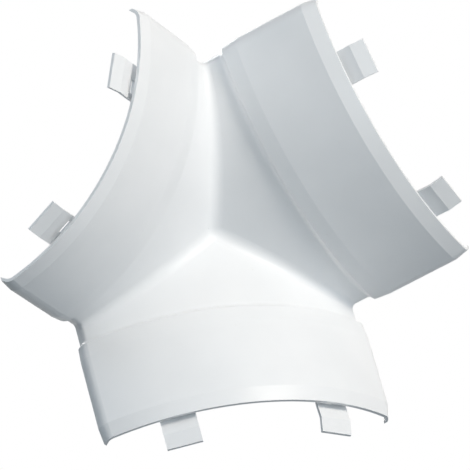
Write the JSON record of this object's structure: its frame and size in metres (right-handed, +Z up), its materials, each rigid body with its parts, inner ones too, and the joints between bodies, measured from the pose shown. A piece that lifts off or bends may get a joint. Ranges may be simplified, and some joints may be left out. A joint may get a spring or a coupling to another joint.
{
  "type": "room corner trunking tee cover",
  "caption": "White moulded cover for the corner of a room, with equal bulging arms along the ceiling and down the wall corner and sprung tongues at each end.",
  "frame": {"origin": "the room corner where the ceiling and the two walls meet", "axes": "+Z up, the ceiling is the plane z = 0; one arm runs along +X, one along -Y and one down along -Z"},
  "size_m": [0.2103, 0.2103, 0.2103],
  "materials": {
    "cover": "smooth white moulded plastic, semi-gloss"
  },
  "bodies": {
    "root": {"corner_cover": "cover"}
  },
  "joints": []
}
